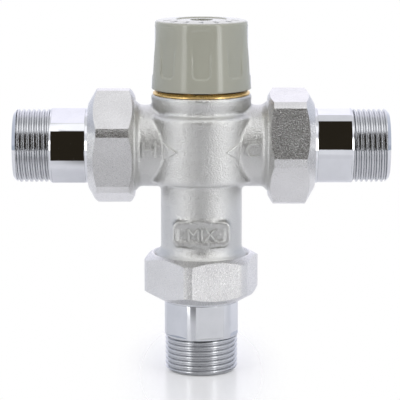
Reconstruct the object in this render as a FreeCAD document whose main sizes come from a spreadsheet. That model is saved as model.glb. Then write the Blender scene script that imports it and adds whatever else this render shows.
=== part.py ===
import FreeCAD, Part
import math
import os
from types import SimpleNamespace

import Sketcher
from FreeCAD import Placement, Rotation, Vector

# A mixing valve for hot and cold water: a forged brass body with two side inlets and an
# outlet below, a threaded tailpiece held to each port by a union nut, and a plastic
# temperature knob on top that sets a wax element and its shutter inside.
#
# Millimetres. The assembly stands on the end of its outlet tailpiece: that end is at z = 0,
# the cold inlet points to +X, the hot inlet to -X, and the front of the body to -Y.
# Heights along the valve are counted from the inlets' common axis.

DRIVING_SIZES = {
    # wax element
    "bulb_radius": 5.5,
    "bulb_length": 24.5,
    "bulb_round": 1.5,
    "bulb_room": 9.0,
    "stem_radius": 3.6,
    "stem_gap": 0.7,
    "element_collar_step": 1.3,
    "element_collar_thickness": 1.7,
    "pin_radius": 1.6,
    "pin_length": 11.4,
    "pin_seat": 1.2,
    "pin_room": 0.8,
    # shutter and its return spring
    "shutter_wall": 1.6,
    "seat_opening": 1.2,
    "web_thickness": 2.5,
    "web_hub_edge": 0.3,
    "web_slot_gap": 0.4,
    "web_slot_count": 4,
    "return_wire": 0.5,
    "return_coil_gap": 0.9,
    "return_coils": 6.0,
    # body, inside
    "ledge_lip": 0.4,
    "ledge_thickness": 2.0,
    "spring_room": 1.8,
    "land_step": 2.7,
    "land_half": 2.5,
    "hot_seat_depth": 9.8,
    "chamber_undercut": 1.0,
    "chamber_roof": 0.4,
    "outlet_step": 0.8,
    "inlet_bore": 9.5,
    "inlet_wall": 1.8,
    "window_width": 14.0,
    "window_edge": 0.6,
    # body, outside
    "barrel_wall": 5.0,
    "barrel_top": 12.2,
    "barrel_round": 1.6,
    "seat_wall": 2.7,
    "neck_wall": 2.8,
    "neck_height": 0.6,
    "neck_blend": 1.5,
    "collar_step": 1.3,
    "collar_taper": 3.4,
    "collar_height": 2.8,
    "collar_blend": 6.0,
    "collar_round": 0.6,
    "tube_wall": 4.75,
    "tube_bare": 22.4,
    "tube_round": 1.5,
    "outlet_flare": 4.4,
    "flare_blend": 5.0,
    "stub_wall": 5.25,
    "stub_bare": 2.2,
    "inlet_flare": 1.8,
    # plaque cast on the front of the outlet tube
    "plaque_width": 21.0,
    "plaque_height": 9.2,
    "plaque_gap": 0.3,
    "plaque_corner": 1.6,
    "plaque_frame": 1.5,
    "plaque_recess": 0.6,
    "plaque_proud": 0.25,
    # tailpieces
    "tail_thread_radius": 13.22,
    "tail_thread_length": 13.35,
    "tail_chamfer": 1.4,
    "tail_wall": 3.72,
    "shank_step": 0.33,
    "shank_gap": 0.35,
    "shank_bare": 1.1,
    "hex_length": 12.0,
    "hex_depth": 1.08,
    "hex_collar": 0.55,
    "check_step": 1.1,
    "check_depth": 13.0,
    # union joints
    "union_thread_length": 9.2,
    "thread_gap": 0.1,
    "thread_chamfer": 0.8,
    "gasket_thickness": 2.0,
    "gasket_lip": 0.8,
    "flange_hold": 2.1,
    "flange_gap": 0.65,
    "flange_thickness": 2.8,
    "nut_wall": 2.45,
    "nut_corner_reach": 2.1,
    "nut_cover": 9.2,
    "nut_lip": 2.7,
    "nut_end_inset": 3.7,
    "nut_face_inset": 1.0,
    "nut_chamfer_slope": 0.577,
    # turned positions of the unions, in degrees
    "hot_nut_turn": -10.0,
    "hot_hex_turn": 10.0,
    "cold_nut_turn": -20.7,
    "cold_hex_turn": -25.0,
    "mixed_nut_turn": -16.8,
    "mixed_hex_turn": -17.6,
    # check valve and strainer in each inlet tailpiece
    "strainer_rim": 0.8,
    "strainer_wall": 0.5,
    "strainer_gap": 1.7,
    "strainer_length": 11.0,
    "strainer_slot": 1.6,
    "strainer_edge": 1.8,
    "strainer_cuts": 6,
    "check_wall": 1.6,
    "check_seat_ledge": 2.35,
    "check_seat_thickness": 1.8,
    "check_guide_thickness": 2.0,
    "check_window_edge": 1.6,
    "check_window_count": 5,
    "poppet_rim_gap": 1.2,
    "poppet_thickness": 1.7,
    "poppet_nose": 1.4,
    "poppet_nose_gap": 0.35,
    "poppet_stem": 1.25,
    "poppet_tail": 1.25,
    "check_wire": 0.3,
    "check_coil_gap": 1.85,
    "check_coils": 3.5,
    # bonnet
    "cold_seat_land": 0.9,
    "cold_seat_nose": 2.6,
    "bonnet_step": 1.2,
    "bonnet_flange_inset": 0.6,
    "bonnet_flange_thickness": 1.2,
    "bonnet_flange_chamfer": 0.8,
    "guide_bore": 9.0,
    "key_width": 2.4,
    "key_reach": 1.1,
    "key_gap": 0.1,
    "tower_wall": 1.3,
    "tower_height": 15.0,
    "tower_roof": 3.4,
    # rubber rings and running fits
    "ring_section": 0.7,
    "ring_sides": 8,
    "ring_gap": 0.06,
    "groove_gap": 0.05,
    "running_gap": 0.08,
    # spindle
    "washer_thickness": 0.5,
    "spindle_radius": 5.0,
    "spindle_flange_gap": 0.4,
    "spindle_flange_thickness": 1.8,
    "spindle_thread_radius": 5.5,
    "spindle_thread_length": 7.0,
    "drive_step": 0.6,
    "drive_flat_depth": 1.1,
    "screw_radius": 2.0,
    "screw_length": 9.0,
    # knob
    "knob_lift": 0.6,
    "knob_room": 3.9,
    "knob_wall": 2.6,
    "knob_draft": 1.35,
    "knob_rise": 10.7,
    "knob_crown": 0.6,
    "knob_edge": 0.9,
    "knob_roof": 3.0,
    "knob_recess_radius": 9.0,
    "knob_recess": 0.9,
    "hub_wall": 3.05,
    "hub_lift": 0.8,
    "hub_roof": 1.35,
    "drive_gap": 0.05,
    "screw_head_radius": 3.6,
    "screw_head_height": 2.0,
    "screw_head_gap": 0.4,
    "screw_socket": 3.0,
    "screw_socket_depth": 1.3,
    "flute_count": 8,
    "flute_start": 4.6,
    "flute_stop": 1.0,
    "flute_low_width": 6.4,
    "flute_high_width": 11.8,
    "flute_low_depth": 0.6,
    "flute_high_depth": 0.15,
    "flute_low_round": 2.2,
    "flute_high_round": 4.4,
    # adjuster and overtravel unit
    "adjuster_lift": 2.0,
    "adjuster_play": 1.8,
    "adjuster_thread": 6.5,
    "adjuster_wall": 1.62,
    "retaining_height": 1.0,
    "retaining_reach": 1.7,
    "retaining_grip": 0.6,
    "retaining_thickness": 1.0,
    "retaining_opening": 2.4,
    "cup_thickness": 1.8,
    "cup_boss_gap": 0.9,
    "cup_boss_height": 2.0,
    "overtravel_wire": 0.6,
    "overtravel_coil_gap": 0.8,
    "overtravel_coils": 3.5,
    # springs
    "wire_sides": 6,
}


class Size:
    """A number together with the sheet expression that gives it."""

    def __init__(self, value, text):
        self.value = value
        self.text = text

    def combined(self, other, sign, value):
        return Size(value, f"({self.text} {sign} {as_size(other).text})")

    def __add__(self, other):
        return self.combined(other, "+", self.value + as_size(other).value)

    def __sub__(self, other):
        return self.combined(other, "-", self.value - as_size(other).value)

    def __mul__(self, other):
        return self.combined(other, "*", self.value * as_size(other).value)

    def __truediv__(self, other):
        return self.combined(other, "/", self.value / as_size(other).value)

    def __neg__(self):
        return Size(-self.value, f"(-{self.text})")


def as_size(number):
    return number if isinstance(number, Size) else Size(float(number), repr(float(number)))


doc = FreeCAD.newDocument("MixingValve")
sheet = doc.addObject("Spreadsheet::Sheet", "Sizes")
for row, (alias, value) in enumerate(DRIVING_SIZES.items(), start=1):
    sheet.set(f"A{row}", alias)
    sheet.set(f"B{row}", str(value))
    sheet.setAlias(f"B{row}", alias)
doc.recompute()
size = SimpleNamespace(**{
    alias: Size(float(value), f"Sizes.{alias}") for alias, value in DRIVING_SIZES.items()
})

# Sizes that follow from the driving ones. The bores, from the element's bulb outwards:
return_coil_radius = size.bulb_radius + size.return_coil_gap + size.return_wire
return_spring_radius = return_coil_radius + size.return_wire
ledge_hole = return_coil_radius - size.return_wire - size.ledge_lip
web_hub_radius = return_spring_radius + size.web_hub_edge
seat_bore = return_spring_radius + size.spring_room
outlet_bore = seat_bore + size.outlet_step
land_radius = seat_bore + size.land_step
cold_seat_radius = land_radius + size.cold_seat_land
bonnet_bore = cold_seat_radius + size.bonnet_step
bonnet_thread_radius = bonnet_bore - size.thread_gap
chamber_radius = bonnet_bore + size.chamber_undercut

# The outside of the body and bonnet, a wall away from the bores:
barrel_radius = chamber_radius + size.barrel_wall
neck_radius = bonnet_bore + size.neck_wall
collar_radius = neck_radius + size.collar_step
bonnet_flange_radius = collar_radius - size.bonnet_flange_inset
tube_radius = outlet_bore + size.tube_wall
stub_radius = size.inlet_bore + size.stub_wall

# The unions, from the tailpiece's pipe thread inwards and outwards:
tail_bore = size.tail_thread_radius - size.tail_wall
check_bore = tail_bore + size.check_step
gasket_bore = check_bore - size.gasket_lip
shank_radius = size.tail_thread_radius + size.shank_step
hex_half = shank_radius - size.hex_depth
lip_bore = shank_radius + size.shank_gap
flange_radius = lip_bore + size.flange_hold
union_thread_radius = flange_radius + size.flange_gap
nut_half = union_thread_radius + size.nut_wall

# Lengths along a union, from the port's face outwards:
union_stack = size.gasket_thickness + size.flange_thickness
nut_end = union_stack + size.nut_lip
hex_start = nut_end + size.shank_bare
hex_end = hex_start + size.hex_length
tail_end = hex_end + size.hex_collar + size.tail_thread_length
check_ledge = size.gasket_thickness + size.check_depth
check_end = check_ledge - size.strainer_rim
check_seat = check_end - size.check_seat_thickness
check_guide = size.gasket_thickness + size.check_guide_thickness
check_radius = check_bore - size.groove_gap
check_inner = check_radius - size.check_wall
check_seat_hole = check_inner - size.check_seat_ledge

# Heights and reaches along the body, from the inlets' axis:
inlet_reach = barrel_radius + size.stub_bare + size.inlet_flare + size.union_thread_length
barrel_bottom = size.hot_seat_depth + size.seat_wall
outlet_drop = barrel_bottom + size.tube_bare + size.outlet_flare + size.union_thread_length
port_height = outlet_drop + tail_end
ledge_depth = size.bulb_length - size.web_thickness + size.bulb_room
shoulder = size.barrel_top + size.neck_height
collar_top = shoulder + size.collar_taper + size.collar_height
bonnet_floor = size.barrel_top - size.chamber_roof
bonnet_flange_top = collar_top + size.bonnet_flange_thickness
cold_seat_height = bonnet_floor - size.cold_seat_nose
tower_top = bonnet_flange_top + size.tower_height
guide_roof = tower_top - size.tower_roof
spindle_flange_top = guide_roof - size.washer_thickness
spindle_flange_bottom = spindle_flange_top - size.spindle_flange_thickness
knob_bottom = bonnet_flange_top + size.knob_lift
knob_top = tower_top + size.knob_rise
recess_floor = knob_top - size.knob_recess
screw_seat = recess_floor - size.screw_head_height
drive_top = screw_seat - size.hub_roof - size.drive_gap
shutter_top = cold_seat_height - size.seat_opening
shutter_bottom = size.hot_seat_depth - size.seat_opening
adjuster_bottom = cold_seat_height + size.adjuster_lift
adjuster_top = spindle_flange_bottom - size.adjuster_play
adjuster_floor = adjuster_top - size.adjuster_thread
cup_floor = adjuster_bottom + size.retaining_height + size.retaining_thickness
cup_top = cup_floor + size.cup_thickness

# Radii of the pieces that run in the bores:
shutter_radius = land_radius - size.running_gap
shutter_bore = shutter_radius - size.shutter_wall
spindle_hole = size.spindle_radius + size.running_gap
drive_radius = size.spindle_radius - size.drive_step
drive_flat = drive_radius - size.drive_flat_depth
adjuster_radius = size.guide_bore - size.running_gap
cup_bore = adjuster_radius - size.adjuster_wall
overtravel_coil_radius = cup_bore - size.overtravel_coil_gap - size.overtravel_wire
key_slot_radius = size.guide_bore + size.key_reach + size.key_gap
tower_radius = key_slot_radius + size.tower_wall
knob_radius = tower_radius + size.knob_room + size.knob_wall
knob_top_radius = knob_radius - size.knob_draft

pieces = {}


def bind(item, path, amount):
    item.setExpression(path, as_size(amount).text)


def seat_at(item, base, rotation=Rotation()):
    """Place a piece; the base is bound to the sheet, the rotation is a fixed turn."""
    item.Placement = Placement(Vector(*[as_size(axis).value for axis in base]), rotation)
    for axis, amount in zip("xyz", base):
        bind(item, f"Placement.Base.{axis}", amount)


def new_body(label, base=(0, 0, port_height), rotation=Rotation()):
    body = doc.addObject("PartDesign::Body", label)
    body.Label = label
    seat_at(body, base, rotation)
    pieces[label] = body
    return body


def origin_plane(body, role):
    return next(feature for feature in body.Origin.OriginFeatures if feature.Role == role)


def new_sketch(body, role, turn=None, lift=None):
    """A sketch on one of the body's own planes, turned about the body's upright axis or lifted off."""
    sketch = body.newObject("Sketcher::SketchObject", "Profile")
    sketch.AttachmentSupport = [(origin_plane(body, role), "")]
    sketch.MapMode = "FlatFace"
    if turn is not None:
        sketch.AttachmentOffset = Placement(Vector(), Rotation(Vector(0, 1, 0), turn))
    if lift is not None:
        sketch.AttachmentOffset = Placement(Vector(0, 0, lift.value), Rotation())
        bind(sketch, "AttachmentOffset.Base.z", lift)
    return sketch


def hold_point(sketch, line, x, y):
    """Tie the first end of a line to its two sizes, counted from the sketch's origin."""
    for kind, amount, axis in (("DistanceX", x, -2), ("DistanceY", y, -1)):
        amount = as_size(amount)
        if amount.value == 0:
            sketch.addConstraint(Sketcher.Constraint("PointOnObject", line, 1, axis))
        else:
            index = sketch.addConstraint(Sketcher.Constraint(kind, -1, 1, line, 1, amount.value))
            bind(sketch, f"Constraints[{index}]", amount)


def draw_outline(sketch, points):
    """A closed outline of straight lines through the given points."""
    corners = [Vector(as_size(x).value, as_size(y).value, 0) for x, y in points]
    first = sketch.GeometryCount
    for index, corner in enumerate(corners):
        sketch.addGeometry(Part.LineSegment(corner, corners[(index + 1) % len(corners)]), False)
    for index, (x, y) in enumerate(points):
        following = first + (index + 1) % len(points)
        sketch.addConstraint(Sketcher.Constraint("Coincident", first + index, 2, following, 1))
        hold_point(sketch, first + index, x, y)


def round_corner(sketch, line, radius):
    """Round the corner at the first end of a line, and keep the corner itself as the measured point."""
    sketch.fillet(line, 1, radius.value, True, True)
    arc = sketch.GeometryCount - 1
    while not isinstance(sketch.Geometry[arc], Part.ArcOfCircle):
        arc -= 1
    held = sketch.addConstraint(Sketcher.Constraint("Radius", arc, radius.value))
    bind(sketch, f"Constraints[{held}]", radius)


def draw_circle(sketch, x, y, radius):
    radius = as_size(radius)
    centre = Vector(as_size(x).value, as_size(y).value, 0)
    index = sketch.addGeometry(Part.Circle(centre, Vector(0, 0, 1), radius.value))
    held = sketch.addConstraint(Sketcher.Constraint("Radius", index, radius.value))
    bind(sketch, f"Constraints[{held}]", radius)
    for kind, amount, axis in (("DistanceX", x, -2), ("DistanceY", y, -1)):
        amount = as_size(amount)
        if amount.value == 0:
            sketch.addConstraint(Sketcher.Constraint("PointOnObject", index, 3, axis))
        else:
            held = sketch.addConstraint(Sketcher.Constraint(kind, -1, 1, index, 3, amount.value))
            bind(sketch, f"Constraints[{held}]", amount)


def turn_outline(body, points, feature="PartDesign::Revolution", axis="V_Axis"):
    """Turn an outline a full circle about the body's upright axis, or about its X axis."""
    sketch = new_sketch(body, "XZ_Plane")
    outlines = points if isinstance(points[0], list) else [points]
    for outline in outlines:
        draw_outline(sketch, outline)
    turned = body.newObject(feature, "Turned")
    turned.Profile = sketch
    turned.ReferenceAxis = (sketch, [axis])
    turned.Angle = 360
    return turned


def cut_outline(body, points, axis="V_Axis"):
    return turn_outline(body, points, "PartDesign::Groove", axis)


def mill(body, sketch, length, both_ways=True, inward=False):
    """Cut a sketch away, evenly to both sides of its plane or to one side."""
    pocket = body.newObject("PartDesign::Pocket", "Milled")
    pocket.Profile = sketch
    bind(pocket, "Length", length)
    pocket.Midplane = both_ways
    pocket.Reversed = inward
    return pocket


def repeat(body, feature, count, angle=360):
    pattern = body.newObject("PartDesign::PolarPattern", "Repeated")
    pattern.Originals = [feature]
    pattern.Axis = (origin_plane(body, "Z_Axis"), [""])
    pattern.Angle = angle
    bind(pattern, "Occurrences", count)
    body.Tip = pattern
    return pattern


def round_edges(body, base, radius, wanted):
    """Round the edges of a feature that the test picks."""
    doc.recompute()
    names = [f"Edge{index}" for index, edge in enumerate(base.Shape.Edges, start=1) if wanted(edge)]
    fillet = body.newObject("PartDesign::Fillet", "Rounded")
    fillet.Base = (base, names)
    bind(fillet, "Radius", radius)
    doc.recompute()
    return fillet


def ring_edge(radius, height):
    """A test for the circular edge of one radius at one height about the upright axis."""
    def wanted(edge):
        curve = edge.Curve
        return (isinstance(curve, Part.Circle) and abs(curve.Radius - radius.value) < 1e-4
                and abs(curve.Center.z - height.value) < 1e-4 and abs(abs(curve.Axis.z) - 1) < 1e-6)
    return wanted


def rubber_ring(label, radius, height):
    """A seal ring. Its section is many-sided, with flats where it meets its groove."""
    sides = int(size.ring_sides.value)
    corner_reach = size.ring_section / math.cos(math.pi / sides)
    corners = [math.tau * (side + 0.5) / sides for side in range(sides)]
    turn_outline(new_body(label), [
        (radius + corner_reach * math.cos(corner), height + corner_reach * math.sin(corner))
        for corner in corners
    ])


def coil_spring(label, coil_radius, wire, coils, length, base, rotation=Rotation()):
    """A wire spring, wound a wire's width past both ends and then ground flat. The wire is many-sided."""
    wound = length + wire * 2
    helix = doc.addObject("Part::Helix", label + "_line")
    bind(helix, "Pitch", wound / coils)
    bind(helix, "Height", wound)
    bind(helix, "Radius", coil_radius)
    seat_at(helix, (0, 0, -wire))
    section = doc.addObject("Part::RegularPolygon", label + "_wire")
    bind(section, "Polygon", size.wire_sides)
    bind(section, "Circumradius", wire)
    seat_at(section, (coil_radius, 0, -wire), Rotation(Vector(1, 0, 0), 90))
    winding = doc.addObject("Part::Sweep", label + "_winding")
    winding.Sections = [section]
    winding.Spine = (helix, ["Edge1"])
    winding.Solid = True
    winding.Frenet = True
    between = doc.addObject("Part::Cylinder", label + "_ends")
    bind(between, "Radius", coil_radius + wire * 3)
    bind(between, "Height", length)
    spring = doc.addObject("Part::Common", label)
    spring.Base = winding
    spring.Tool = between
    spring.Label = label
    seat_at(spring, base, rotation)
    pieces[label] = spring
    return spring


def make_valve_body():
    body = new_body("valve_body")
    thread_start = outlet_drop - size.union_thread_length
    shell = turn_outline(body, [
        (0, -outlet_drop),
        (union_thread_radius - size.thread_chamfer, -outlet_drop),
        (union_thread_radius, size.thread_chamfer - outlet_drop),
        (union_thread_radius, -thread_start),
        (tube_radius, size.outlet_flare - thread_start),
        (tube_radius, -barrel_bottom),
        (barrel_radius, -barrel_bottom),
        (barrel_radius, size.barrel_top),
        (neck_radius, size.barrel_top),
        (neck_radius, shoulder),
        (collar_radius, shoulder + size.collar_taper),
        (collar_radius, collar_top),
        (0, collar_top),
    ])
    barrel = round_edges(body, shell, size.barrel_round, ring_edge(barrel_radius, size.barrel_top))
    barrel = round_edges(body, barrel, size.tube_round, ring_edge(barrel_radius, -barrel_bottom))
    barrel = round_edges(body, barrel, size.collar_round, ring_edge(collar_radius, collar_top))
    taper_top = ring_edge(collar_radius, shoulder + size.collar_taper)
    barrel = round_edges(body, barrel, size.collar_blend, taper_top)
    barrel = round_edges(body, barrel, size.neck_blend, ring_edge(neck_radius, shoulder))
    round_edges(body, barrel, size.flare_blend, ring_edge(tube_radius, size.outlet_flare - thread_start))

    stub_thread = inlet_reach - size.union_thread_length
    stub_flare = stub_thread - size.inlet_flare
    half = [
        (inlet_reach, 0),
        (inlet_reach, union_thread_radius - size.thread_chamfer),
        (inlet_reach - size.thread_chamfer, union_thread_radius),
        (stub_thread, union_thread_radius),
        (stub_flare, stub_radius),
    ]
    other_half = [(-x, radius) for x, radius in reversed(half)]
    turn_outline(body, half + other_half, axis="H_Axis")

    plaque_bottom = size.outlet_flare - thread_start + size.plaque_gap
    plaque_top = plaque_bottom + size.plaque_height
    plate = new_sketch(body, "XZ_Plane")
    draw_outline(plate, octagon(size.plaque_width / 2, plaque_bottom, plaque_top, size.plaque_corner))
    pad = body.newObject("PartDesign::Pad", "Plaque")
    pad.Profile = plate
    bind(pad, "Length", tube_radius + size.plaque_proud)
    panel = new_sketch(body, "XZ_Plane", lift=tube_radius + size.plaque_proud)
    draw_outline(panel, octagon(size.plaque_width / 2 - size.plaque_frame, plaque_bottom + size.plaque_frame,
                                plaque_top - size.plaque_frame, size.plaque_corner / 2))
    mill(body, panel, size.plaque_recess, both_ways=False)

    cut_outline(body, [
        (0, -outlet_drop),
        (outlet_bore, -outlet_drop),
        (outlet_bore, -(ledge_depth + size.ledge_thickness)),
        (ledge_hole, -(ledge_depth + size.ledge_thickness)),
        (ledge_hole, -ledge_depth),
        (seat_bore, -ledge_depth),
        (seat_bore, -size.hot_seat_depth),
        (chamber_radius, -size.hot_seat_depth),
        (chamber_radius, -size.land_half),
        (land_radius, -size.land_half),
        (land_radius, size.land_half),
        (chamber_radius, size.land_half),
        (chamber_radius, bonnet_floor),
        (bonnet_bore, bonnet_floor),
        (bonnet_bore, collar_top),
        (0, collar_top),
    ])
    bore_end = chamber_radius + size.inlet_wall
    cut_outline(body, [
        [(side * reach, radius) for reach, radius in (
            (bore_end, as_size(0)), (bore_end, size.inlet_bore),
            (inlet_reach, size.inlet_bore), (inlet_reach, as_size(0)))]
        for side in (as_size(1), as_size(-1))
    ], axis="H_Axis")
    windows = new_sketch(body, "XZ_Plane")
    for side in (as_size(1), as_size(-1)):
        inner = side * land_radius
        outer = side * (bore_end + size.inlet_wall)
        near = side * size.land_half
        far = side * (size.hot_seat_depth - size.window_edge)
        draw_outline(windows, [(inner, near), (outer, near), (outer, far), (inner, far)])
    mill(body, windows, size.window_width)
    return body


def octagon(half_width, bottom, top, corner):
    """A rectangle about the upright axis with its corners cut."""
    return [
        (-half_width, bottom + corner), (corner - half_width, bottom),
        (half_width - corner, bottom), (half_width, bottom + corner),
        (half_width, top - corner), (half_width - corner, top),
        (corner - half_width, top), (-half_width, top - corner),
    ]


def make_bonnet():
    bonnet = new_body("bonnet")
    groove_top = collar_top
    groove_floor = bonnet_bore - size.ring_gap - size.ring_section * 2
    groove_bottom = groove_top - size.ring_section * 2 - size.groove_gap * 2
    chamfer = size.bonnet_flange_chamfer
    turn_outline(bonnet, [
        (size.guide_bore, cold_seat_height),
        (cold_seat_radius, cold_seat_height),
        (cold_seat_radius, bonnet_floor),
        (bonnet_thread_radius, bonnet_floor),
        (bonnet_thread_radius, groove_bottom),
        (groove_floor, groove_bottom),
        (groove_floor, groove_top),
        (bonnet_flange_radius, groove_top),
        (bonnet_flange_radius, bonnet_flange_top - chamfer),
        (bonnet_flange_radius - chamfer, bonnet_flange_top),
        (tower_radius, bonnet_flange_top),
        (tower_radius, tower_top - chamfer),
        (tower_radius - chamfer, tower_top),
        (spindle_hole, tower_top),
        (spindle_hole, guide_roof),
        (size.guide_bore, guide_roof),
    ])
    slots = new_sketch(bonnet, "XZ_Plane")
    draw_outline(slots, [(-key_slot_radius, cold_seat_height), (key_slot_radius, cold_seat_height),
                         (key_slot_radius, spindle_flange_bottom), (-key_slot_radius, spindle_flange_bottom)])
    mill(bonnet, slots, size.key_width + size.key_gap * 2)
    rubber_ring("bonnet_o_ring", groove_floor + size.ring_section, (groove_top + groove_bottom) / 2)


def make_spindle():
    spindle = new_body("spindle")
    groove_floor = spindle_hole - size.ring_gap - size.ring_section * 2
    groove_middle = (guide_roof + tower_top) / 2
    groove_half = size.ring_section + size.groove_gap
    flange = size.guide_bore - size.spindle_flange_gap
    thread_bottom = spindle_flange_bottom - size.spindle_thread_length
    turn_outline(spindle, [
        (0, thread_bottom),
        (size.spindle_thread_radius - size.thread_chamfer, thread_bottom),
        (size.spindle_thread_radius, thread_bottom + size.thread_chamfer),
        (size.spindle_thread_radius, spindle_flange_bottom),
        (flange, spindle_flange_bottom),
        (flange, spindle_flange_top),
        (size.spindle_radius, spindle_flange_top),
        (size.spindle_radius, groove_middle - groove_half),
        (groove_floor, groove_middle - groove_half),
        (groove_floor, groove_middle + groove_half),
        (size.spindle_radius, groove_middle + groove_half),
        (size.spindle_radius, tower_top),
        (drive_radius, tower_top),
        (drive_radius, drive_top),
        (size.screw_radius, drive_top),
        (size.screw_radius, screw_seat - size.screw_length),
        (0, screw_seat - size.screw_length),
    ])
    flats = new_sketch(spindle, "XZ_Plane")
    for side in (as_size(1), as_size(-1)):
        inner = side * drive_flat
        outer = side * size.spindle_radius
        draw_outline(flats, [(inner, tower_top), (outer, tower_top),
                             (outer, drive_top), (inner, drive_top)])
    mill(spindle, flats, size.spindle_radius * 2)
    rubber_ring("spindle_o_ring", groove_floor + size.ring_section, groove_middle)

    washer = new_body("thrust_washer")
    turn_outline(washer, [(spindle_hole, spindle_flange_top), (flange, spindle_flange_top),
                          (flange, guide_roof), (spindle_hole, guide_roof)])


def make_knob():
    """The knob: a tapered cap with a hub on the spindle and finger flutes around its side."""
    cap = new_body("knob_cap_form")
    side_top = knob_top - size.knob_crown
    taper = (knob_radius - knob_top_radius) / (side_top - knob_bottom)
    inner_roof = recess_floor - size.knob_roof
    inner_top_radius = knob_top_radius - size.knob_wall
    hub_bottom = tower_top + size.hub_lift
    head_bore = size.screw_head_radius + size.screw_head_gap
    hub_bore = drive_radius + size.drive_gap
    hub_radius = hub_bore + size.hub_wall
    solid = turn_outline(cap, [
        (size.screw_radius, drive_top + size.drive_gap),
        (hub_bore, drive_top + size.drive_gap),
        (hub_bore, hub_bottom),
        (hub_radius, hub_bottom),
        (hub_radius, inner_roof),
        (inner_top_radius, inner_roof),
        (knob_radius - size.knob_wall, knob_bottom),
        (knob_radius, knob_bottom),
        (knob_top_radius, side_top),
        (size.knob_recess_radius, knob_top),
        (size.knob_recess_radius, recess_floor),
        (head_bore, recess_floor),
        (head_bore, screw_seat),
        (size.screw_radius, screw_seat),
    ])
    round_edges(cap, solid, size.knob_edge, ring_edge(knob_top_radius, side_top))
    key = new_sketch(cap, "XZ_Plane")
    for side in (as_size(1), as_size(-1)):
        inner = side * (drive_flat + size.drive_gap)
        outer = side * (hub_bore + size.drive_gap)
        draw_outline(key, [(inner, hub_bottom), (outer, hub_bottom),
                           (outer, drive_top + size.drive_gap), (inner, drive_top + size.drive_gap)])
    flats = cap.newObject("PartDesign::Pad", "DriveFlats")
    flats.Profile = key
    bind(flats, "Length", hub_bore * 2)
    flats.Midplane = True

    # Each flute is a tongue, round below and wider above, cut in to a floor that is steeper than the side.
    flute_bottom = knob_bottom + size.flute_start
    flute_top = side_top - size.flute_stop
    low_floor = knob_radius - taper * size.flute_start - size.flute_low_depth
    high_floor = knob_top_radius + taper * size.flute_stop - size.flute_high_depth
    ring = new_body("flute_ring_form")
    turn_outline(ring, [(low_floor, flute_bottom), (knob_radius, flute_bottom),
                        (knob_radius, flute_top), (high_floor, flute_top)])
    tongues = new_body("flute_tongue_form")
    outline = new_sketch(tongues, "XZ_Plane")
    low_half = size.flute_low_width / 2
    high_half = size.flute_high_width / 2
    draw_outline(outline, [(-low_half, flute_bottom), (low_half, flute_bottom),
                           (high_half, flute_top), (-high_half, flute_top)])
    for corner, radius in ((0, size.flute_low_round), (1, size.flute_low_round),
                           (2, size.flute_high_round), (3, size.flute_high_round)):
        round_corner(outline, corner, radius)
    tongue = tongues.newObject("PartDesign::Pad", "Tongue")
    tongue.Profile = outline
    bind(tongue, "Length", knob_radius)
    repeat(tongues, tongue, size.flute_count)
    flutes = doc.addObject("Part::Common", "flutes")
    flutes.Base = ring
    flutes.Tool = tongues
    knob = doc.addObject("Part::Cut", "fluted_knob")
    knob.Base = cap
    knob.Tool = flutes
    for form in ("knob_cap_form", "flute_ring_form", "flute_tongue_form"):
        del pieces[form]
    knob.Label = "temperature_knob"
    pieces["temperature_knob"] = knob

    screw = new_body("knob_screw")
    turn_outline(screw, [
        (0, screw_seat - size.screw_length),
        (size.screw_radius, screw_seat - size.screw_length),
        (size.screw_radius, screw_seat),
        (size.screw_head_radius, screw_seat),
        (size.screw_head_radius, recess_floor),
        (0, recess_floor),
    ])
    socket = new_sketch(screw, "XY_Plane", lift=recess_floor)
    draw_outline(socket, hexagon(size.screw_socket / 2))
    mill(screw, socket, size.screw_socket_depth, both_ways=False)


def hexagon(half_flats):
    """Six corners about the origin, for a given half width across flats."""
    corner = half_flats / math.cos(math.radians(30))
    rise = corner / 2
    return [(corner, as_size(0)), (rise, half_flats), (-rise, half_flats),
            (-corner, as_size(0)), (-rise, -half_flats), (rise, -half_flats)]


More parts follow.
